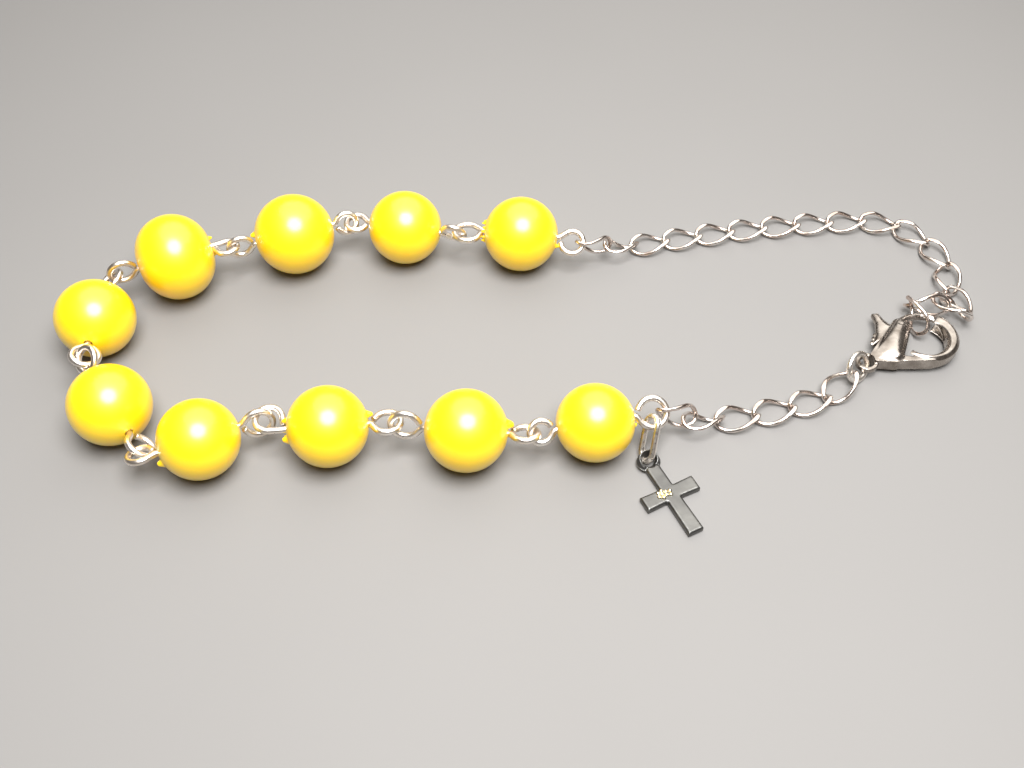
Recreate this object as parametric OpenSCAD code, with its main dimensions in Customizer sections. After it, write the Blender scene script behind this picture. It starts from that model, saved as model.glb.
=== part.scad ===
// Beaded bracelet: ten yellow beads on eye pins, an extender chain, a short chain,
// a lobster clasp with a hinged lever, and a small cross on an oval link.
// It lies on the surface as it was put down, with the last extender link on the clasp's gate.
// X runs along the bracelet, Y across it, Z up; the surface is at Z = 0.

/* [Beads] */
// Diameter of the hole through each bead
bead_hole_d = 1.2; // [1:0.1:1.4]
// Depth of the chamfer at the mouth of each hole
bead_chamfer = 0.15; // [0.05:0.05:0.25]

/* [Eye pins] */
// Diameter of the wire that carries each bead
pin_wire = 0.65; // [0.5:0.05:0.7]
// Gap between a bead and the loops on both sides of it
pin_gap = 0.1; // [0.05:0.05:0.2]

/* [Chains] */
// Diameter of the wire that the chain links are bent from
link_wire = 0.45; // [0.4:0.01:0.46]
// Length of a link over the outside
link_length = 4.86; // [4.84:0.02:4.9]
// Width of a link over the outside
link_width = 3.1; // [2.9:0.1:3.3]
// Angle by which a link is twisted from one end to the other
link_twist = 90; // [80:5:100]

/* [Clasp] */
// Thickness of the clasp's body
body_thick = 2.6; // [2.4:0.1:2.8]
// Thickness of the clasp's hook
hook_thick = 1.8; // [1.6:0.1:2]
// Thickness of the lever in the clasp's slot
lever_thick = 1; // [0.8:0.1:1.1]
// Gap beside the lever in its slot
lever_gap = 0.12; // [0.1:0.01:0.15]
// Diameter of the pin that the lever turns on
pivot_d = 0.8; // [0.7:0.05:0.9]

/* [Cross] */
// Height of the cross without its ring
cross_h = 7.9; // [7.5:0.1:8.5]
// Span of the cross's arms
cross_span = 5.7; // [5.2:0.1:6]
// Width of the cross's bars
cross_bar = 1.45; // [1.2:0.05:1.6]
// Thickness of the cross
cross_thick = 0.7; // [0.6:0.05:0.8]

/* [Hidden] */
bead_count = 10;
extender_count = 17;
chain_count = 6;
$fn = 48;

// Where the beads lie, from the extender chain round to the short chain
B_X = 0;     // centre, along the bracelet
B_Y = 1;     // centre, across it
B_DIA = 2;   // diameter
B_LEN = 3;   // length along the hole
B_DIR = 4;   // the way the hole points, from the start loop to the end loop
B_TILT = 5;  // how far the hole rises towards the end loop
beads = [
    [0, 15.0, 8.1, 8.1, 171, 0],
    [-12.8, 16.4, 8.0, 8.0, 167, 0],
    [-24.9, 15.3, 8.7, 8.6, 199, 0],
    [-37.3, 11.85, 9.2, 7.8, 203, 0],
    [-44.25, 3.7, 8.1, 8.1, 275, 8],
    [-40.3, -7.5, 8.0, 8.0, 308, -6],
    [-31, -11.7, 7.8, 7.8, 22, 0],
    [-18.9, -10.5, 7.9, 7.8, 4, 0],
    [-5.7, -11.3, 8.0, 8.0, 354, 0],
    [6.6, -10.5, 7.6, 7.6, 11, 0]];

// The two loops of each eye pin
L_OD = 0;    // outside diameter
L_ROLL = 1;  // turn about the pin, where 0 lies flat
L_SIDE = 2;  // how far the loop's centre is to the side of the pin
start_loops = [[3.1, -38, 0.4], [2.97, 72.4, 0.42], [2.86, -67, 0.2], [2.85, 7.5, 1.05], [3.07, 31, 1],
    [3.14, 45, 0.79], [2.97, -21.4, 0.58], [3.25, 6.7, 1.28], [3.46, 78, 0.19], [2.8, 47.5, 0.05]];
end_loops = [[3.46, 5.4, 0.59], [2.9, -5.6, 0.33], [3.11, -93, -0.13], [3.32, -95.4, -0.13],
    [3.24, -19.4, 0.03], [3.35, -45.4, 0.29], [3.42, -100.8, 0.39], [3.31, -8.3, 0],
    [3.06, -22.6, 0.13], [3.5, 38, 0]];
// Part of a loop's circle that is left open where its cut end comes back to the pin
loop_open = 20;

// Where a link lies: centre, then its heading over the surface, slope, and roll about its own length
P_HEAD = 3;
P_SLOPE = 4;
P_ROLL = 5;
// Links 1 and 2 of the extender hang from the eye pin down to the surface
extender_first = [
    [8.03, 14.16, 3.17, 22.1, -26.7, 115.7],
    [11.16, 15.45, 1.58, 25.8, -22.3, -23.4]];
// Links 3 to 13 lie flat: the heading of each, from the joint where link 3 starts
extender_joint = [12.7, 16.05];
extender_heads = [12, 10, 10, 7, 6, 4, 3, -14, -48, -69, -102];
// Links 14 to 17 lie in a heap at the clasp, the last one round the lever's gate
extender_heap = [
    [46.64, 6.62, 1.11, -76.6, 10, 0.2],
    [45.48, 5.11, 1.87, 141.5, 9.1, 29.7],
    [43.01, 5.68, 1.58, 172, -7, 88.7],
    [41.5, 4.29, 1.59, -81.3, -11.5, -93.5]];
// The short chain in the same way: two links down from the eye pin, three flat, one up to the jump ring
chain_first = [
    [14.67, -9, 2.91, 7.1, -28.9, 88.4],
    [17.38, -8.77, 1.5, 15.4, -15.2, -30.6]];
chain_joint = [19, -8.4];
chain_heads = [9, 14, 17];
chain_last = [[31.78, -4.5, 1.07, 40.3, 11.7, -1.2]];
// Step from one joint to the next in each chain, and the height at which a link lies flat
extender_pitch = 3.85;
chain_pitch = 3.9;
link_level = 0.8;

// Link: half length and half width of the wire's centre line
half_l = (link_length - link_wire) / 2;
half_w = (link_width - link_wire) / 2;
link_rings = 22;
link_sides = 6;

// Jump ring between the short chain and the clasp
ring_od = 3.4;
ring_wire = 0.6;
ring_pos = [33.92, -2.51, 1.55];
ring_dir = 41.7;
ring_roll = 61.1;

// Clasp, in its own frame: u from the tail eye to the hook, v to the side of the lever
clasp_pos = [34.85, -1.85];
clasp_dir = 22;
clasp_mid = body_thick / 2;
eye_pos = 0.2;
eye_r = 1.15;
eye_hole_r = 0.7;
eye_thick = 0.6;
body_edge = 0.55;
// The body's outline goes round these discs: u, v and radius
body_discs = [[1.35, 0, 0.7], [3, -0.75, 0.85], [5.95, 2.4, 1]];
// The hook is a crescent between an outer and an inner circle, with a tapered arm back to the body
hook_edge = 0.35;
hook_c = [7.5, 0.3];
hook_r = 3.4;
mouth_c = [7.25, 0.1];
mouth_r = 2.25;
hook_arm = [[2.6, -1.35], [3.6, -1.8], [5.7, -2.7], [6.5, -2.95], [6.5, -2.1], [5.3, -1.9], [3.7, -1],
    [3, -0.7]];
// The hook ends on this line, above which the lever's gate closes the mouth
mouth_cut = [[4.2, -1.2], [7, 0.15], [12, 2.9], [12, 6], [2, 6]];
pivot = [5.9, 2.4];
hub_r = 0.95;
gate_c = [7.55, 0.2];
gate_r = 3.2;
gate_w = 0.7;
gate_start = 128;
gate_end = 35;
// Reach of the gate's tip from the pivot, which the hook's nose stays clear of
tip_reach = 4.51;
tip_gap = 0.14;
// The thumb tab's outline
tab = [[5.9, 1.6], [2.9, 1.45], [2.1, 1.75], [3.2, 2.8], [4.05, 4.1], [4.35, 5.3], [5.05, 5.1], [5.1, 4],
    [5.3, 3.3], [5.9, 3.3]];
// The slot that the lever moves in
slot = [[1, 1.1], [4.6, 0.9], [6, 1.15], [9, 0.9], [9, 6], [1, 6]];

// Charm
charm_link_l = 5;
charm_link_w = 2.3;
charm_wire = 0.6;
charm_pos = [11.85, -11.23, 2.09];
charm_head = -105.2;
charm_slope = -47.1;
charm_roll = 47.4;
cross_pos = [13.45, -16.5];
cross_dir = -64.5;
cross_level = 3.3;
cross_ring_od = 2.4;
cross_ring_wire = 0.6;
cross_ring_tilt = 30;
bar_end_w = 1.6;

// Beads and their pins
function bead_pos(i) = [beads[i][B_X], beads[i][B_Y], beads[i][B_DIA] / 2];
function reach(i, loop) = beads[i][B_LEN] / 2 + pin_gap + loop[L_OD] / 2;
function wire_r(loop) = (loop[L_OD] - pin_wire) / 2;
function neck(loop) = sqrt(pow(wire_r(loop), 2) - pow(loop[L_SIDE], 2));

module at_bead(i) {
    translate(bead_pos(i)) rotate([0, -beads[i][B_TILT], beads[i][B_DIR]]) children();
}

module bead(i) {
    dia = beads[i][B_DIA];
    len = beads[i][B_LEN];
    arc_r = dia / 4 + len * len / dia / 4;
    arc_x = dia / 2 - arc_r;
    hole_r = bead_hole_d / 2;
    mouth = sqrt(pow(arc_r, 2) - pow(hole_r - arc_x, 2));
    color("gold")
    at_bead(i)
    rotate([0, 90, 0])
    rotate_extrude($fn = 72)
    difference() {
        intersection() {
            translate([arc_x, 0]) circle(r = arc_r, $fn = 96);
            translate([hole_r, -dia]) square([dia, 2 * dia]);
        }
        for (s = [-1, 1]) polygon([
            [0, s * (mouth - bead_chamfer)],
            [hole_r, s * (mouth - bead_chamfer)],
            [hole_r + 2 * bead_chamfer, s * (mouth + bead_chamfer)],
            [0, s * (mouth + bead_chamfer)]]);
    }
}

module pin_loop(loop, turn) {
    rotate([loop[L_ROLL], 0, 0])
    translate([0, loop[L_SIDE], 0])
    rotate([0, 0, turn])
    rotate_extrude(angle = 360 - loop_open)
    translate([wire_r(loop), 0])
    circle(d = pin_wire, $fn = 24);
}

module eye_pin(i) {
    first = start_loops[i];
    last = end_loops[i];
    from = -reach(i, first) + neck(first);
    to = reach(i, last) - neck(last);
    color("silver")
    at_bead(i)
    union() {
        translate([from, 0, 0]) rotate([0, 90, 0]) cylinder(d = pin_wire, h = to - from, $fn = 24);
        translate([-reach(i, first), 0, 0]) pin_loop(first, -asin(first[L_SIDE] / wire_r(first)));
        translate([reach(i, last), 0, 0]) pin_loop(last, 180 + asin(last[L_SIDE] / wire_r(last)));
    }
}

// Chain links
function link_line(t) =
    let (x = half_l * cos(t), y = half_w * sin(t), a = -link_twist / 2 * x / half_l)
    [x, y * cos(a), y * sin(a)];
function link_ring(t) =
    let (p = link_line(t), ahead = link_line(t + 1) - link_line(t - 1), along = ahead / norm(ahead),
        a = -link_twist / 2 * p.x / half_l,
        side = cross([0, -sin(a), cos(a)], along), out = side / norm(side), up = cross(along, out))
    [for (k = [0 : link_sides - 1]) p + link_wire / 2
        * (cos(360 * (k + 0.5) / link_sides) * out + sin(360 * (k + 0.5) / link_sides) * up)];

module chain_link(row) {
    points = [for (j = [0 : link_rings - 1]) each link_ring(360 * j / link_rings)];
    faces = [for (j = [0 : link_rings - 1]) for (k = [0 : link_sides - 1])
        let (j2 = (j + 1) % link_rings, k2 = (k + 1) % link_sides,
            a = j * link_sides + k, b = j * link_sides + k2,
            c = j2 * link_sides + k2, d = j2 * link_sides + k)
        each [[a, c, b], [a, d, c]]];
    color("lightgray")
    translate([row.x, row.y, row.z])
    rotate([row[P_ROLL], -row[P_SLOPE], row[P_HEAD]])
    polyhedron(points = points, faces = faces);
}

// Rows for links that lie flat, one after another from a joint
function joint_pos(from, heads, pitch, i) = i == 0 ? from : joint_pos(from, heads, pitch, i - 1)
    + pitch * [cos(heads[i - 1]), sin(heads[i - 1])];
function flat_rows(from, heads, pitch) = [for (i = [0 : len(heads) - 1])
    let (p = joint_pos(from, heads, pitch, i) + pitch / 2 * [cos(heads[i]), sin(heads[i])])
    [p.x, p.y, link_level, heads[i], 0, 0]];
extender = concat(extender_first, flat_rows(extender_joint, extender_heads, extender_pitch), extender_heap);
chain = concat(chain_first, flat_rows(chain_joint, chain_heads, chain_pitch), chain_last);

module wire_ring(od, wire) {
    rotate_extrude() translate([(od - wire) / 2, 0]) circle(d = wire, $fn = 24);
}

module clasp_ring() {
    color("silver")
    translate(ring_pos)
    rotate([ring_roll, 0, ring_dir])
    wire_ring(ring_od, ring_wire);
}

// Clasp
module at_clasp() {
    translate([clasp_pos.x, clasp_pos.y, clasp_mid]) rotate([0, 0, clasp_dir]) children();
}

// A disc with chamfered rims
module plate(r, thick, edge) {
    cylinder(r = r, h = thick - 2 * edge, center = true);
    for (s = [-1, 1]) translate([0, 0, s * (thick - edge) / 2])
        cylinder(r1 = s > 0 ? r : r - edge, r2 = s > 0 ? r - edge : r, h = edge, center = true);
}

module hook() {
    flare = mouth_r + hook_edge;
    difference() {
        union() {
            translate([hook_c.x, hook_c.y, 0]) plate(hook_r, hook_thick, hook_edge, $fn = 96);
            linear_extrude(height = hook_thick - hook_edge, center = true) polygon(hook_arm);
        }
        translate([mouth_c.x, mouth_c.y, 0]) {
            cylinder(r = mouth_r, h = body_thick, center = true, $fn = 96);
            for (s = [-1, 1]) translate([0, 0, s * (hook_thick - hook_edge) / 2])
                cylinder(r1 = s > 0 ? mouth_r : flare, r2 = s > 0 ? flare : mouth_r, h = hook_edge + 0.002,
                    center = true, $fn = 96);
        }
        linear_extrude(height = body_thick, center = true) polygon(mouth_cut);
        translate([pivot.x, pivot.y, 0])
        cylinder(r = tip_reach + tip_gap, h = lever_thick + 2 * lever_gap, center = true, $fn = 96);
    }
}

module clasp_body() {
    color("silver")
    at_clasp()
    difference() {
        union() {
            hull() for (d = body_discs) translate([d[0], d[1], 0]) {
                cylinder(r = d[2], h = body_thick - 2 * body_edge, center = true, $fn = 32);
                cylinder(r = d[2] - body_edge * 0.8, h = body_thick, center = true, $fn = 32);
            }
            hook();
            translate([eye_pos, 0, 0]) cylinder(r = eye_r, h = eye_thick, center = true);
        }
        translate([eye_pos, 0, 0]) cylinder(r = eye_hole_r, h = body_thick, center = true);
        translate([pivot.x, pivot.y, 0]) cylinder(d = pivot_d + 0.06, h = 2 * body_thick, center = true);
        linear_extrude(height = lever_thick + 2 * lever_gap, center = true) polygon(slot);
    }
}

module clasp_pivot() {
    color("silver")
    at_clasp()
    translate([pivot.x, pivot.y, 0])
    cylinder(d = pivot_d, h = body_thick - 0.1, center = true);
}

module clasp_lever() {
    color("silver")
    at_clasp()
    difference() {
        union() {
            translate([pivot.x, pivot.y, 0]) cylinder(r = hub_r, h = lever_thick, center = true);
            translate([gate_c.x, gate_c.y, 0])
            rotate([0, 0, gate_end])
            rotate_extrude(angle = gate_start - gate_end)
            translate([gate_r, 0])
            square([gate_w, lever_thick], center = true);
            linear_extrude(height = lever_thick, center = true) polygon(tab);
        }
        translate([pivot.x, pivot.y, 0]) cylinder(d = pivot_d + 0.12, h = body_thick, center = true);
    }
}

// Charm
module charm_link() {
    straight = charm_link_l - charm_link_w;
    bend = (charm_link_w - charm_wire) / 2;
    color("silver")
    translate(charm_pos)
    rotate([charm_roll, -charm_slope, charm_head])
    union() for (s = [-1, 1]) {
        translate([s * straight / 2, 0, 0])
        rotate([0, 0, -90 * s])
        rotate_extrude(angle = 180)
        translate([bend, 0])
        circle(d = charm_wire, $fn = 24);
        translate([0, s * bend, 0])
        rotate([0, 90, 0])
        cylinder(d = charm_wire, h = straight, center = true, $fn = 24);
    }
}

module cross_charm() {
    foot = cross_h - cross_level;
    color("silver")
    translate([cross_pos.x, cross_pos.y, 0])
    rotate([0, 0, cross_dir])
    union() {
        linear_extrude(height = cross_thick)
        union() {
            polygon([
                [-cross_level, -cross_bar / 2], [0, -cross_bar / 2], [foot, -bar_end_w / 2],
                [foot, bar_end_w / 2], [0, cross_bar / 2], [-cross_level, cross_bar / 2]]);
            for (s = [-1, 1]) polygon([
                [-cross_bar / 2, 0], [cross_bar / 2, 0],
                [bar_end_w / 2, s * cross_span / 2], [-bar_end_w / 2, s * cross_span / 2]]);
        }
        translate([-cross_level, 0, cross_thick / 2])
        rotate([0, cross_ring_tilt, 0])
        translate([-(cross_ring_od - cross_ring_wire) / 2 + 0.1, 0, 0])
        wire_ring(cross_ring_od, cross_ring_wire);
    }
}

clasp_ring();
clasp_body();
clasp_pivot();
clasp_lever();
charm_link();
cross_charm();
for (i = [1 : bead_count]) bead(i - 1);
for (i = [1 : bead_count]) eye_pin(i - 1);
for (i = [1 : extender_count])
    chain_link(extender[i - 1]);
for (i = [1 : chain_count])
    chain_link(chain[i - 1]);
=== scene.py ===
# Beaded bracelet, lying closed on a pale surface: ten yellow beads on looped eye pins, two chains of
# twisted links, a lobster clasp with a hinged lever, and a small cross on an oval link.
# Sizes are in millimetres and angles in degrees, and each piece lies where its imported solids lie.
import math
from collections import namedtuple

import bmesh
import bpy
import numpy as np
from mathutils import Matrix, Vector
from mathutils.kdtree import KDTree


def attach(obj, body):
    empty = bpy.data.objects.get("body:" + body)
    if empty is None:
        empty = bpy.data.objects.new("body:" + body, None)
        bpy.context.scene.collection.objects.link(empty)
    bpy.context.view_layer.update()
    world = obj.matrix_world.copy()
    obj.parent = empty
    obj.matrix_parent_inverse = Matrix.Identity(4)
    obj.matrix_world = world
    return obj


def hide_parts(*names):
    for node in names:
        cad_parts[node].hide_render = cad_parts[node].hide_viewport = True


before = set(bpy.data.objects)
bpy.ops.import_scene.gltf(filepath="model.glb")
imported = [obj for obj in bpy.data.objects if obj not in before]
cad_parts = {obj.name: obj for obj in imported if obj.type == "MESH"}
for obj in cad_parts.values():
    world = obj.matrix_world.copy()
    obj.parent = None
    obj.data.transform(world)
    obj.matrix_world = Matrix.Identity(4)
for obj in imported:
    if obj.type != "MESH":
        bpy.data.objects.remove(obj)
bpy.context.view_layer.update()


# Beads
# Opaque yellow acrylic, moulded, drilled and tumbled to a soft gloss, which gives a broad pale sheen
# round a small white highlight. The drill has left burrs at some of the holes' mouths.
MM = 0.001
Bead = namedtuple("Bead", "x y dia length heading tilt")
BEADS = [
    Bead(0, 15, 8.1, 8.1, 171, 0),
    Bead(-12.8, 16.4, 8, 8, 167, 0),
    Bead(-24.9, 15.3, 8.7, 8.6, 199, 0),
    Bead(-37.3, 11.85, 9.2, 7.8, 203, 0),
    Bead(-44.25, 3.7, 8.1, 8.1, 275, 8),
    Bead(-40.3, -7.5, 8, 8, 308, -6),
    Bead(-31, -11.7, 7.8, 7.8, 22, 0),
    Bead(-18.9, -10.5, 7.9, 7.8, 4, 0),
    Bead(-5.7, -11.3, 8, 8, 354, 0),
    Bead(6.6, -10.5, 7.6, 7.6, 11, 0),
]
HOLE_R = 0.4
CHAMFER = 0.1
AROUND = 96
ARC_STEPS = 80

# A burr's turn about the hole, distance from the hole's middle, height, and half width at its foot
Burr = namedtuple("Burr", "turn out height spread")
RAGGED_RIM = [Burr(30 * k + 9 * (k % 2), 1.0 + 0.08 * (k % 3), 0.3 + 0.12 * (k % 2), 0.15) for k in range(12)]
# Burrs by the bead's number and the end of its hole
BURRS = {
    (1, -1): [Burr(320, 0.95, 0.45, 0.2)],
    (1, 1): RAGGED_RIM,
    (3, 1): [Burr(140, 1.0, 0.42, 0.28)],
    (4, -1): [Burr(150, 0.95, 0.35, 0.2), Burr(320, 0.85, 0.3, 0.22)],
    (7, -1): [Burr(215, 1.1, 0.48, 0.34)],
    (8, -1): [Burr(30, 0.85, 0.5, 0.27), Burr(215, 1.0, 0.55, 0.36), Burr(232, 0.75, 0.35, 0.24)],
    (8, 1): [Burr(38, 0.9, 0.55, 0.3)],
    (9, 1): [Burr(40, 0.9, 0.6, 0.4)],
    (10, 1): [Burr(225, 0.9, 0.3, 0.25)],
}
# Steepness of a burr's flanks: 2 makes a spike, 4 a blunt nub
BURR_FLANK = 4


def put(tree, kind, settings=None, inputs=None):
    """Adds a node, sets its properties, and fills its inputs with values or with links."""
    node = tree.nodes.new(kind)
    for key, value in (settings or {}).items():
        setattr(node, key, value)
    for key, value in (inputs or {}).items():
        if isinstance(value, bpy.types.NodeSocket):
            tree.links.new(value, node.inputs[key])
        else:
            node.inputs[key].default_value = value
    return node


def linear(hex_code):
    """The linear colour of an sRGB hex code."""
    parts = [int(hex_code[i : i + 2], 16) / 255 for i in (1, 3, 5)]
    return [c / 12.92 if c <= 0.04045 else ((c + 0.055) / 1.055) ** 2.4 for c in parts] + [1]


def new_material(name):
    """An empty node material, with its tree and the Object coordinates that its patterns read."""
    material = bpy.data.materials.new(name)
    material.use_nodes = True
    tree = material.node_tree
    tree.nodes.clear()
    where = put(tree, "ShaderNodeTexCoord").outputs["Object"]
    return material, tree, where


def moulded_acrylic():
    """Dyed acrylic, a little cloudy 3 mm across, with a tumbled skin whose wear is 0.8 mm across.

    The tumbling's own dimples are finer than the render shows, so they are drawn 0.5 mm across.
    """
    material, tree, where = new_material("tumbled yellow acrylic")
    cloud = put(tree, "ShaderNodeTexNoise", inputs={"Vector": where, "Scale": 1 / (3 * MM), "Detail": 2.0})
    colour = put(tree, "ShaderNodeMix", {"data_type": "RGBA"},
                 {0: cloud.outputs["Fac"], 6: linear("#FDD400"), 7: linear("#FBCC00")})
    wear = put(tree, "ShaderNodeTexNoise", inputs={"Vector": where, "Scale": 1 / (0.8 * MM), "Detail": 3.0})
    rough = put(tree, "ShaderNodeMapRange",
                inputs={"Value": wear.outputs["Fac"], "To Min": 0.44, "To Max": 0.54})
    dimples = put(tree, "ShaderNodeTexNoise", inputs={"Vector": where, "Scale": 1 / (0.5 * MM), "Detail": 1.0})
    bump = put(tree, "ShaderNodeBump",
               inputs={"Height": dimples.outputs["Fac"], "Strength": 0.06, "Distance": 0.05 * MM})
    shader = put(tree, "ShaderNodeBsdfPrincipled",
                 inputs={"Base Color": colour.outputs[2], "Roughness": rough.outputs["Result"],
                         "Normal": bump.outputs["Normal"], "IOR": 1.49, "Coat Weight": 1.0,
                         "Coat Roughness": 0.24, "Subsurface Weight": 0.25,
                         "Subsurface Radius": (1.0, 0.5, 0.05), "Subsurface Scale": 0.8 * MM})
    put(tree, "ShaderNodeOutputMaterial", inputs={"Surface": shader.outputs["BSDF"]})
    return material


def finished(name, points, faces, material):
    """A smooth closed mesh object from points in millimetres, with its faces pointing outwards."""
    mesh = bpy.data.meshes.new(name)
    mesh.from_pydata([Vector(p) * MM for p in points], [], faces)
    work = bmesh.new()
    work.from_mesh(mesh)
    bmesh.ops.recalc_face_normals(work, faces=work.faces)
    work.to_mesh(mesh)
    work.free()
    mesh.shade_smooth()
    mesh.materials.append(material)
    piece = bpy.data.objects.new(name, mesh)
    bpy.context.scene.collection.objects.link(piece)
    return piece


def rings_to_faces(rings, sides, closed):
    """Quads between rings of points, the last ring joined to the first where the form is closed."""
    last = rings if closed else rings - 1
    return [(j * sides + k, j * sides + (k + 1) % sides,
             (j + 1) % rings * sides + (k + 1) % sides, (j + 1) % rings * sides + k)
            for j in range(last) for k in range(sides)]


def bead_place(bead):
    """The turn and the place of a bead and its pin, whose hole runs along X."""
    heading = Matrix.Rotation(math.radians(bead.heading), 4, "Z")
    tilt = Matrix.Rotation(math.radians(-bead.tilt), 4, "Y")
    return Matrix.Translation((bead.x, bead.y, bead.dia / 2)) @ (heading @ tilt)


def bead_profile(dia, length):
    """Distance along the hole and radius, out along the bead's arc and back through its hole."""
    arc_r = dia / 4 + length * length / dia / 4
    arc_x = dia / 2 - arc_r
    rim_r = HOLE_R + CHAMFER
    reach = math.acos((rim_r - arc_x) / arc_r)
    arc = []
    for k in range(ARC_STEPS + 1):
        # Steps shorten towards both mouths, where the burrs are
        a = reach * math.sin(math.pi * (k / ARC_STEPS - 0.5))
        arc.append((arc_r * math.sin(a), arc_x + arc_r * math.cos(a)))
    inner = math.sqrt(arc_r**2 - (HOLE_R - arc_x) ** 2) - CHAMFER
    hole = [(inner * share, HOLE_R) for share in (1, 0.5, 0, -0.5, -1)]
    return arc + hole


def burr_lift(burrs, y, z):
    """How far the burrs at a hole's mouth raise the bead's surface at a point beside the hole."""
    lift = 0
    for burr in burrs:
        turn = math.radians(burr.turn)
        far = math.hypot(y - burr.out * math.cos(turn), z - burr.out * math.sin(turn))
        lift = max(lift, burr.height * math.exp(-((far / burr.spread) ** BURR_FLANK)))
    return lift


acrylic = moulded_acrylic()
for number, bead in enumerate(BEADS, 1):
    place = bead_place(bead)
    profile = bead_profile(bead.dia, bead.length)
    points = []
    for x, radius in profile:
        burrs = BURRS.get((number, 1 if x > 0 else -1), ())
        for k in range(AROUND):
            angle = 2 * math.pi * k / AROUND
            y, z = radius * math.cos(angle), radius * math.sin(angle)
            points.append(place @ Vector((x + math.copysign(burr_lift(burrs, y, z), x), y, z)))
    ball = finished(f"yellow_bead_{number}", points, rings_to_faces(len(profile), AROUND, True), acrylic)
    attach(ball, "bracelet")
    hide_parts(f"bead_{number}")


# Eye pins
# Bright silver-coloured wire, one length through each bead, turned into a round loop at both ends with
# pliers. The loops hook into each other, and their cut ends stop just short of the wire's bend.
PIN_WIRE = 0.65
PIN_GAP = 0.1
# A loop's outside diameter, its roll about the pin, and how far its middle lies to the side of the pin
Loop = namedtuple("Loop", "od roll side")
START_LOOPS = [
    Loop(3.1, -38, 0.4), Loop(2.97, 72.4, 0.42), Loop(2.86, -67, 0.2), Loop(2.85, 7.5, 1.05),
    Loop(3.07, 31, 1), Loop(3.14, 45, 0.79), Loop(2.97, -21.4, 0.58), Loop(3.25, 6.7, 1.28),
    Loop(3.46, 78, 0.19), Loop(2.8, 47.5, 0.05),
]
END_LOOPS = [
    Loop(3.46, 5.4, 0.59), Loop(2.9, -5.6, 0.33), Loop(3.11, -93, -0.13), Loop(3.32, -95.4, -0.13),
    Loop(3.24, -19.4, 0.03), Loop(3.35, -45.4, 0.29), Loop(3.42, -100.8, 0.39), Loop(3.31, -8.3, 0),
    Loop(3.06, -22.6, 0.13), Loop(3.5, 38, 0),
]
# Where the wire leaves the pin's line, beyond the bead
MOUTH_REACH = 0.2
# Angle at which the wire joins a loop's circle that reaches the pin's line, in radians
TIGHT_TOUCH = 0.25
# What the cut end lacks of the way back to the pin's line, and the least length of that end
CUT_SHORT = 0.5
LEAST_END = 0.1
# Points along the neck, the circle, the cut end and the shaft, and rounds of easing over their corners
NECK_STEPS = 8
CIRCLE_STEPS = 56
END_STEPS = 6
SHAFT_STEPS = 40
EASING = 5
WIRE_SIDES = 16
# Share of the wire's radius that its rounded ends have
END_SHARE = 0.72


def plated(name, light, shade, low, high, grain, scuffs):
    """Plated metal: a colour that drifts between two tones, and a roughness that varies over the grain."""
    material, tree, where = new_material(name)
    drift = put(tree, "ShaderNodeTexNoise", inputs={"Vector": where, "Scale": 1 / (4 * grain), "Detail": 3.0})
    tone = put(tree, "ShaderNodeMapRange",
               inputs={"Value": drift.outputs["Fac"], "From Min": 0.35, "From Max": 0.65})
    colour = put(tree, "ShaderNodeMix", {"data_type": "RGBA"},
                 {0: tone.outputs["Result"], 6: linear(light), 7: linear(shade)})
    wear = put(tree, "ShaderNodeTexNoise", inputs={"Vector": where, "Scale": 1 / grain, "Detail": 4.0})
    rough = put(tree, "ShaderNodeMapRange",
                inputs={"Value": wear.outputs["Fac"], "From Min": 0.3, "From Max": 0.7,
                        "To Min": low, "To Max": high})
    bump = put(tree, "ShaderNodeBump",
               inputs={"Height": wear.outputs["Fac"], "Strength": scuffs, "Distance": 0.06 * MM})
    shader = put(tree, "ShaderNodeBsdfPrincipled",
                 inputs={"Base Color": colour.outputs[2], "Roughness": rough.outputs["Result"],
                         "Normal": bump.outputs["Normal"], "Metallic": 1.0})
    put(tree, "ShaderNodeOutputMaterial", inputs={"Surface": shader.outputs["BSDF"]})
    return material


def swept_wire(path, radius, sides):
    """Rings of points round an open path, with rounded ends closed by a point each."""
    path = np.array(path, float)
    ways = np.gradient(path, axis=0)
    ways /= np.linalg.norm(ways, axis=1)[:, None]
    side = np.cross(ways[0], (0.3, 0.2, 1))
    points = []
    last = len(path) - 1
    for j, (middle, ahead) in enumerate(zip(path, ways)):
        side = side - ahead * np.dot(side, ahead)
        side /= np.linalg.norm(side)
        up = np.cross(ahead, side)
        thick = radius * (END_SHARE if j in (0, last) else 1)
        for k in range(sides):
            a = 2 * math.pi * k / sides
            points.append(middle + thick * (math.cos(a) * side + math.sin(a) * up))
    faces = rings_to_faces(len(path), sides, False)
    for ring, tip in ((0, path[0]), (last, path[-1])):
        points.append(tip)
        faces += [(ring * sides + k, ring * sides + (k + 1) % sides, len(points) - 1) for k in range(sides)]
    return points, faces


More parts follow.
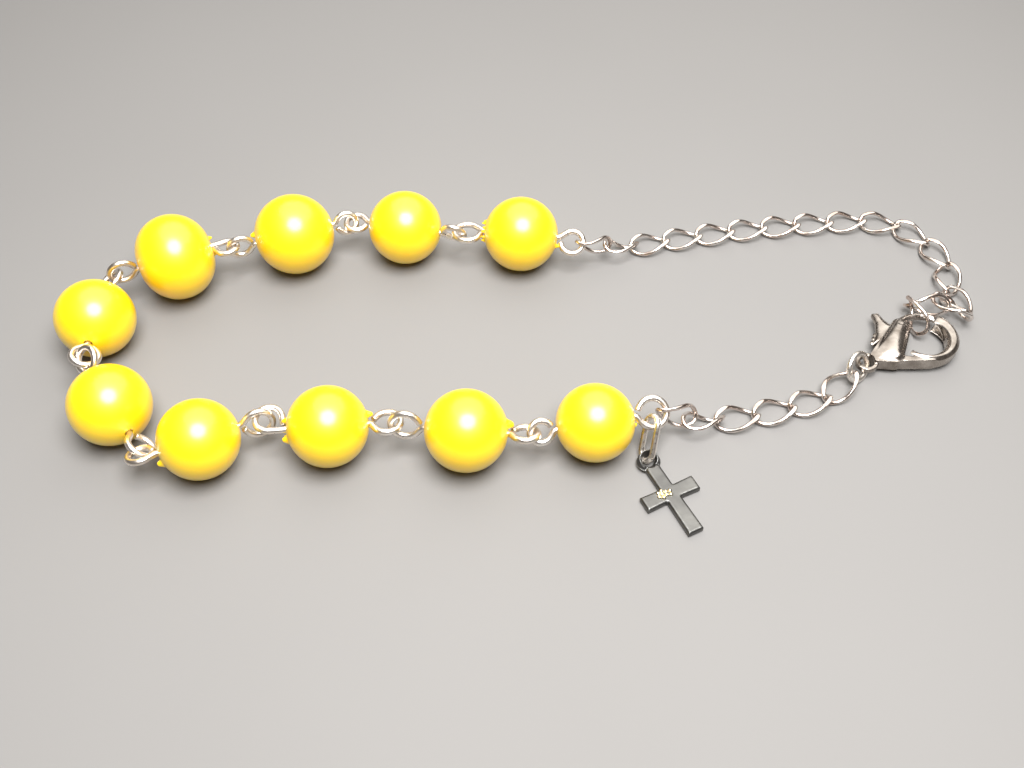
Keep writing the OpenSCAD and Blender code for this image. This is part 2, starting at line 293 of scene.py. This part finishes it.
def loop_points(loop, length, end):
    """Points of one loop, from the hole's mouth out, round the circle and back to the bead."""
    r = (loop.od - PIN_WIRE) / 2
    out = length / 2 + PIN_GAP + loop.od / 2
    mouth = Vector((length / 2 + MOUTH_REACH - out, -loop.side))
    away = mouth.length
    back = math.atan2(mouth.y, mouth.x)
    touch = math.acos(min(1, r / away)) if away > r else TIGHT_TOUCH
    way = 1 if loop.side >= 0 else -1
    angles = [back + way * (touch + (2 * math.pi - 2 * touch) * k / CIRCLE_STEPS)
              for k in range(CIRCLE_STEPS + 1)]
    circle = [Vector((r * math.cos(a), r * math.sin(a))) for a in angles]
    neck = [mouth.lerp(circle[0], k / NECK_STEPS) for k in range(NECK_STEPS)]
    cut = max(LEAST_END, (circle[-1] - mouth).length - CUT_SHORT)
    homeward = (mouth - circle[-1]).normalized()
    cut_end = [circle[-1] + homeward * cut * k / END_STEPS for k in range(1, END_STEPS + 1)]
    spin = Matrix.Rotation(math.radians(loop.roll), 3, "X")
    return [Vector((end * out, 0, 0)) + spin @ Vector((end * p.x, loop.side + p.y, 0))
            for p in neck + circle + cut_end]


def pin_path(length, first, last):
    """The wire of one eye pin: loop, straight shaft and loop, with the bends eased."""
    head = loop_points(first, length, -1)[::-1]
    tail = loop_points(last, length, 1)
    shaft = [head[-1].lerp(tail[0], k / SHAFT_STEPS) for k in range(1, SHAFT_STEPS)]
    path = np.array(head + shaft + tail)
    for _ in range(EASING):
        eased = path.copy()
        eased[1:-1] = (path[:-2] + 2 * path[1:-1] + path[2:]) / 4
        path = eased
    return path


# Drawn and plated wire: bright, with soft highlights and hardly a scratch
pin_metal = plated("bright plated wire", "#F6F1EA", "#E4D8CC", 0.26, 0.4, 0.3 * MM, 0.05)
for number, (bead, first, last) in enumerate(zip(BEADS, START_LOOPS, END_LOOPS), 1):
    place = bead_place(bead)
    path = [place @ Vector(p) for p in pin_path(bead.length, first, last)]
    points, faces = swept_wire(path, PIN_WIRE / 2, WIRE_SIDES)
    pin = finished(f"looped_pin_{number}", points, faces, pin_metal)
    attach(pin, "bracelet")
    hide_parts(f"eye_pin_{number}")


# Chains
# Curb links of plated wire, each twisted a quarter turn from end to end so that the chain lies flat, and
# filed on both faces, which leaves a bright flat near each end. One link is made, and set out along the
# packed links by their own middle and axes.
LINK_LENGTH = 4.86
LINK_WIDTH = 3.1
LINK_WIRE = 0.45
LINK_TWIST = 90
LINK_RINGS = 96
LINK_SIDES = 14
# Thickness of the wire in the middle of a link's sides, as a share, and how fast it grows to the ends
THIN_SIDE = 0.95
THICKENING = 1.5
# Height above and below a link's middle at which it is filed flat
FILED_AT = 0.53


def link_mesh(name, material):
    """One twisted link at the origin, thinner along its sides and filed flat above and below."""
    half_l = (LINK_LENGTH - LINK_WIRE) / 2
    half_w = (LINK_WIDTH - LINK_WIRE) / 2
    step = 0.01

    def twist(x):
        return -math.radians(LINK_TWIST) / 2 * x / half_l

    def line(t):
        x = half_l * math.cos(t)
        y = half_w * math.sin(t)
        return Vector((x, y * math.cos(twist(x)), y * math.sin(twist(x))))

    points = []
    for j in range(LINK_RINGS):
        t = 2 * math.pi * j / LINK_RINGS
        p = line(t)
        ahead = (line(t + step) - line(t - step)).normalized()
        a = twist(p.x)
        out = Vector((0, -math.sin(a), math.cos(a))).cross(ahead).normalized()
        up = ahead.cross(out)
        radius = LINK_WIRE / 2 * (THIN_SIDE + (1 - THIN_SIDE) * abs(math.cos(t)) ** THICKENING)
        for k in range(LINK_SIDES):
            b = 2 * math.pi * k / LINK_SIDES
            q = p + radius * (math.cos(b) * out + math.sin(b) * up)
            q.z = max(-FILED_AT, min(FILED_AT, q.z))
            points.append(q)
    return finished(name, points, rings_to_faces(LINK_RINGS, LINK_SIDES, True), material)


def link_tree():
    """Sets a link out on points that each carry their own turn, as one realized mesh."""
    tree = bpy.data.node_groups.new("links along a chain", "GeometryNodeTree")
    sockets = tree.interface
    sockets.new_socket("Middles", in_out="INPUT", socket_type="NodeSocketGeometry")
    link_socket = sockets.new_socket("Link", in_out="INPUT", socket_type="NodeSocketObject")
    size_socket = sockets.new_socket("Size", in_out="INPUT", socket_type="NodeSocketFloat")
    metal_socket = sockets.new_socket("Plating", in_out="INPUT", socket_type="NodeSocketMaterial")
    sockets.new_socket("Chain", in_out="OUTPUT", socket_type="NodeSocketGeometry")
    given = put(tree, "NodeGroupInput")
    link = put(tree, "GeometryNodeObjectInfo", inputs={"Object": given.outputs["Link"]})
    turn = put(tree, "GeometryNodeInputNamedAttribute", {"data_type": "FLOAT_VECTOR"}, {"Name": "turn"})
    spots = put(tree, "GeometryNodeMeshToPoints", inputs={"Mesh": given.outputs["Middles"]})
    set_out = put(tree, "GeometryNodeInstanceOnPoints",
                  inputs={"Points": spots.outputs["Points"], "Instance": link.outputs["Geometry"],
                          "Rotation": turn.outputs["Attribute"], "Scale": given.outputs["Size"]})
    real = put(tree, "GeometryNodeRealizeInstances", inputs={"Geometry": set_out.outputs["Instances"]})
    done = put(tree, "GeometryNodeSetMaterial",
               inputs={"Geometry": real.outputs["Geometry"], "Material": given.outputs["Plating"]})
    put(tree, "NodeGroupOutput", inputs={"Chain": done.outputs["Geometry"]})
    return tree, link_socket.identifier, size_socket.identifier, metal_socket.identifier


def link_frame(node):
    """A packed link's middle, and its turn: longest way along X, next longest along Y."""
    co = np.unique(np.round([v.co for v in node.data.vertices], 7), axis=0)
    middle = co.mean(axis=0)
    _, axes = np.linalg.eigh(np.cov((co - middle).T))
    x, y = axes[:, 2], axes[:, 1]
    turn = Matrix(np.array([x, y, np.cross(x, y)]).T.tolist())
    return middle, turn.to_euler()


# Filed and plated wire: nearly a mirror on its flats, with a warm darker tone where the plating is thin
chain_metal = plated("plated curb chain", "#EDE6E0", "#C8B6AB", 0.14, 0.28, 0.25 * MM, 0.08)
master_link = link_mesh("master_link", chain_metal)
master_link.hide_render = True
tree, link_id, size_id, metal_id = link_tree()
for name, prefix, count in (("extender_chain", "extender_link_", 17), ("short_chain", "chain_link_", 6)):
    nodes = [f"{prefix}{k}" for k in range(1, count + 1)]
    frames = [link_frame(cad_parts[n]) for n in nodes]
    spots = bpy.data.meshes.new(name + "_middles")
    spots.from_pydata([Vector(middle) for middle, _ in frames], [], [])
    spots.attributes.new("turn", "FLOAT_VECTOR", "POINT").data.foreach_set(
        "vector", [angle for _, turn in frames for angle in turn])
    holder = bpy.data.objects.new(name + "_middles", spots)
    bpy.context.scene.collection.objects.link(holder)
    modifier = holder.modifiers.new("links", "NODES")
    modifier.node_group = tree
    modifier[link_id] = master_link
    modifier[size_id] = 1.0
    modifier[metal_id] = chain_metal
    graph = bpy.context.evaluated_depsgraph_get()
    mesh = bpy.data.meshes.new_from_object(holder.evaluated_get(graph))
    mesh.shade_smooth()
    bpy.data.objects.remove(holder)
    chain = bpy.data.objects.new(name, mesh)
    bpy.context.scene.collection.objects.link(chain)
    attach(chain, "bracelet")
    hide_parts(*nodes)
bpy.data.objects.remove(master_link)


# Jump ring and oval link
# Thick bright wire rings, bent shut: one joins the short chain to the clasp's tail, and the long oval
# one carries the cross on the last eye pin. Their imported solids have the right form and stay.
ring_metal = plated("bright jump ring wire", "#FAF6F0", "#EFE6DC", 0.24, 0.38, 0.35 * MM, 0.05)
for name in ("clasp_ring", "charm_link"):
    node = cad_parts[name]
    node.data.materials.clear()
    node.data.materials.append(ring_metal)


# Clasp
# A lobster clasp, cast, tumbled and plated: body, tail eye and hook are one piece, and the lever with its
# thumb tab and gate turns on a pin through the body. Tumbling has rounded every edge.
CLASP_AT = (34.85, -1.85)
CLASP_DIR = 22
CLASP_MIDDLE = 1.3
# How the flat faces are rounded: half thickness of the core that stays as it is, half thickness of the
# piece, and how far in from the outline the rounding reaches
BODY_CORE, BODY_HALF, BODY_REACH = 0.66, 1.3, 1.3
LEVER_CORE, LEVER_HALF, LEVER_REACH = 0.15, 0.5, 0.7
# The body gets lower towards its tail: where it is lowest, over what length, and the share of its crown
# that is left there
TAIL_END = 0.9
TAIL_LENGTH = 3
TAIL_SHARE = 0.2
# Steepest slope of a face that still counts as flat, and the height from which walls count as outline
WALL_SLOPE = 0.6
WALL_LEVEL = 0.6
# Share of the crown that is lost at the outline
CROWN_DROP = 0.9
BODY_VOXEL = 0.06
BODY_TUMBLING = 10
LEVER_VOXEL = 0.05
LEVER_TUMBLING = 6
# Three small ridges on the thumb tab, along and across the clasp, and their height over its middle
GRIPS = [(2.2, 1.9), (2.62, 2.28), (3.02, 2.65)]
GRIP_R = 0.27
GRIP_LEVEL = 0.3


def crown(mesh, middle, core, half, reach, fall=None):
    """Rounds the flat faces of a casting down towards its outline, outside a core that stays as it is.

    A fall also lowers them towards one end: direction over the surface, where it starts, length, least share.
    """
    walls = [v.co for v in mesh.vertices
             if abs(v.normal.z) < WALL_SLOPE and abs(v.co.z - middle) > WALL_LEVEL * half]
    outline = KDTree(len(walls))
    for k, co in enumerate(walls):
        outline.insert((co.x, co.y, 0), k)
    outline.balance()
    for v in mesh.vertices:
        out = abs(v.co.z - middle) - core
        if out > 0:
            near = min(outline.find((v.co.x, v.co.y, 0))[2] / reach, 1)
            rise = 1 - CROWN_DROP * (1 - near) ** 2
            if fall:
                way, start, length, least = fall
                t = max(0, min(1, (v.co.xy.dot(way) - start) / length))
                rise *= least + (1 - least) * t * t * (3 - 2 * t)
            v.co.z = middle + math.copysign(core + out * rise, v.co.z - middle)


def cast_piece(name, sources, extras, voxel, rounds, material, crowning):
    """A casting with tumbled edges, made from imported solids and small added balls."""
    work = bmesh.new()
    for source in sources:
        work.from_mesh(source.data)
    bmesh.ops.transform(work, matrix=Matrix.Scale(1 / MM, 4), verts=work.verts)
    bmesh.ops.remove_doubles(work, verts=work.verts, dist=0.0005)
    for centre, radius in extras:
        bmesh.ops.create_icosphere(work, subdivisions=3, radius=radius, matrix=Matrix.Translation(centre))
    rough_mesh = bpy.data.meshes.new(name + "_rough")
    work.to_mesh(rough_mesh)
    work.free()
    holder = bpy.data.objects.new(name + "_rough", rough_mesh)
    bpy.context.scene.collection.objects.link(holder)
    remesh = holder.modifiers.new("metal", "REMESH")
    remesh.mode = "VOXEL"
    remesh.voxel_size = voxel
    graph = bpy.context.evaluated_depsgraph_get()
    solid = bpy.data.meshes.new_from_object(holder.evaluated_get(graph))
    crown(solid, *crowning)
    holder.modifiers.clear()
    holder.data = solid
    tumble = holder.modifiers.new("tumbling", "SMOOTH")
    tumble.factor = 0.5
    tumble.iterations = rounds
    graph = bpy.context.evaluated_depsgraph_get()
    mesh = bpy.data.meshes.new_from_object(holder.evaluated_get(graph))
    bpy.data.objects.remove(holder)
    mesh.transform(Matrix.Scale(MM, 4))
    mesh.shade_smooth()
    mesh.materials.clear()
    mesh.materials.append(material)
    piece = bpy.data.objects.new(name, mesh)
    bpy.context.scene.collection.objects.link(piece)
    return piece


def seen_from_above(at, heading, u, v):
    """Where a point of a piece lies in the bracelet's plan, given along and across the piece."""
    c, s = math.cos(math.radians(heading)), math.sin(math.radians(heading))
    return at[0] + u * c - v * s, at[1] + u * s + v * c


# Cast alloy, tumbled and plated: softly polished, greyer than the wire, with clouds of wear 0.5 mm across
clasp_metal = plated("tumbled clasp casting", "#BEB6AE", "#827971", 0.2, 0.34, 0.5 * MM, 0.12)
shell = [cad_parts["clasp_body"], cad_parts["clasp_pivot"]]
to_hook = Vector((math.cos(math.radians(CLASP_DIR)), math.sin(math.radians(CLASP_DIR))))
tail_end = to_hook.dot(Vector(seen_from_above(CLASP_AT, CLASP_DIR, TAIL_END, 0)))
clasp = cast_piece("clasp_casting", shell, [], BODY_VOXEL, BODY_TUMBLING, clasp_metal,
                   (CLASP_MIDDLE, BODY_CORE, BODY_HALF, BODY_REACH,
                    (to_hook, tail_end, TAIL_LENGTH, TAIL_SHARE)))
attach(clasp, "bracelet")
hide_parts("clasp_body", "clasp_pivot")
grips = [((*seen_from_above(CLASP_AT, CLASP_DIR, u, v), CLASP_MIDDLE + GRIP_LEVEL), GRIP_R) for u, v in GRIPS]
lever = cast_piece("clasp_lever_casting", [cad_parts["clasp_lever"]], grips, LEVER_VOXEL,
                   LEVER_TUMBLING, clasp_metal, (CLASP_MIDDLE, LEVER_CORE, LEVER_HALF, LEVER_REACH))
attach(lever, "lever")
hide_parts("clasp_lever")


# Cross
# A flat cast cross with satin faces, narrowly eased edges and a cluster of tiny raised grains at the
# crossing. Its own ring is soldered to the head, and the oval link goes through it.
CROSS_AT = (13.45, -16.5)
CROSS_DIR = -64.5
CROSS_MIDDLE = 0.35
CROSS_CORE, CROSS_HALF, CROSS_REACH = 0.2, 0.35, 0.2
CROSS_VOXEL = 0.05
CROSS_TUMBLING = 5
# The grains along and across the cross, from its crossing
GRAINS = [(0.0, -1.2), (-0.4, -1.1), (0.25, -0.85), (-0.15, -0.8), (-0.5, -0.7), (0.1, -0.45), (-0.3, -0.35),
          (0.2, -0.05), (-0.2, 0.05)]
GRAIN_R = 0.21
GRAIN_LEVEL = 0.66
# Grains stand at three levels, this far apart
GRAIN_STEP = 0.02

# Cast and plated, left satin: flat grey faces with a fine tooth, and soft light along the edges
cross_metal = plated("satin cast cross", "#72716E", "#62615F", 0.34, 0.46, 0.35 * MM, 0.12)
cross = cast_piece("cross_casting", [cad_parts["cross_charm"]], [], CROSS_VOXEL, CROSS_TUMBLING,
                   cross_metal, (CROSS_MIDDLE, CROSS_CORE, CROSS_HALF, CROSS_REACH))
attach(cross, "bracelet")
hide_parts("cross_charm")

# The grains are polished and pale gold, so they glint
grain_metal = plated("bright raised grains", "#FBF6E2", "#EADFBC", 0.15, 0.3, 0.2 * MM, 0.05)
work = bmesh.new()
for k, (u, v) in enumerate(GRAINS):
    spot = Vector((*seen_from_above(CROSS_AT, CROSS_DIR, u, v), GRAIN_LEVEL + GRAIN_STEP * (k % 3)))
    bmesh.ops.create_icosphere(work, subdivisions=3, radius=GRAIN_R * MM, matrix=Matrix.Translation(spot * MM))
grain_mesh = bpy.data.meshes.new("cross_grains")
work.to_mesh(grain_mesh)
work.free()
grain_mesh.shade_smooth()
grain_mesh.materials.append(grain_metal)
cluster = bpy.data.objects.new("cross_grains", grain_mesh)
bpy.context.scene.collection.objects.link(cluster)
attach(cluster, "bracelet")


# Surface, light and camera
# A plain pale board, a soft lamp nearly overhead that gives the beads their highlights, a broad one
# beyond it that the metal shines with, and a dim warm surround, seen from the photograph's height.
FLOOR_SIZE = 2.0
SURROUND = "#A8A09A"
SURROUND_STRENGTH = 0.32
CAMERA_AT = (-1.28, -68.8, 85.2)
CAMERA_ELEVATION = 52.2
CAMERA_ROLL = -1
LENS = 36.9
SENSOR = 36
NEAREST = 0.001

floor_mesh = bpy.data.meshes.new("surface")
half = FLOOR_SIZE / 2
corners = [(-half, -half, 0), (half, -half, 0), (half, half, 0), (-half, half, 0)]
floor_mesh.from_pydata(corners, [], [(0, 1, 2, 3)])
floor = bpy.data.objects.new("surface", floor_mesh)
bpy.context.scene.collection.objects.link(floor)
# Matt painted board, mottled faintly over 40 mm
paint, tree, where = new_material("pale matt board")
mottle = put(tree, "ShaderNodeTexNoise", inputs={"Vector": where, "Scale": 1 / (40 * MM), "Detail": 2.0})
shade = put(tree, "ShaderNodeMix", {"data_type": "RGBA"},
            {0: mottle.outputs["Fac"], 6: linear("#7C7A78"), 7: linear("#787674")})
board = put(tree, "ShaderNodeBsdfPrincipled", inputs={"Base Color": shade.outputs[2], "Roughness": 0.8})
put(tree, "ShaderNodeOutputMaterial", inputs={"Surface": board.outputs["BSDF"]})
floor_mesh.materials.append(paint)


def area_light(name, place, target, size, power, colour):
    """A round soft light at a place in millimetres, facing a target."""
    lamp = bpy.data.lights.new(name, "AREA")
    lamp.shape = "DISK"
    lamp.size = size * MM
    lamp.energy = power
    lamp.color = linear(colour)[:3]
    holder = bpy.data.objects.new(name, lamp)
    holder.location = Vector(place) * MM
    holder.rotation_euler = (Vector(target) - Vector(place)).to_track_quat("-Z", "Y").to_euler()
    bpy.context.scene.collection.objects.link(holder)


area_light("key_light", place=(14, -44, 178), target=(-5, 0, 0), size=130, power=0.88, colour="#FFFFFF")
area_light("ceiling_light", place=(25, 120, 230), target=(5, 10, 0), size=400, power=0.85, colour="#FFFDF8")
world = bpy.data.worlds.new("surround")
world.use_nodes = True
background = world.node_tree.nodes["Background"]
background.inputs["Color"].default_value = linear(SURROUND)
background.inputs["Strength"].default_value = SURROUND_STRENGTH
bpy.context.scene.world = world
bpy.context.scene.view_settings.view_transform = "Standard"

lens = bpy.data.cameras.new("camera")
lens.lens = LENS
lens.sensor_width = SENSOR
lens.sensor_fit = "HORIZONTAL"
lens.clip_start = NEAREST
camera = bpy.data.objects.new("camera", lens)
camera.matrix_world = (
    Matrix.Translation(Vector(CAMERA_AT) * MM)
    @ Matrix.Rotation(math.radians(90 - CAMERA_ELEVATION), 4, "X")
    @ Matrix.Rotation(math.radians(CAMERA_ROLL), 4, "Z"))
bpy.context.scene.collection.objects.link(camera)
bpy.context.scene.camera = camera
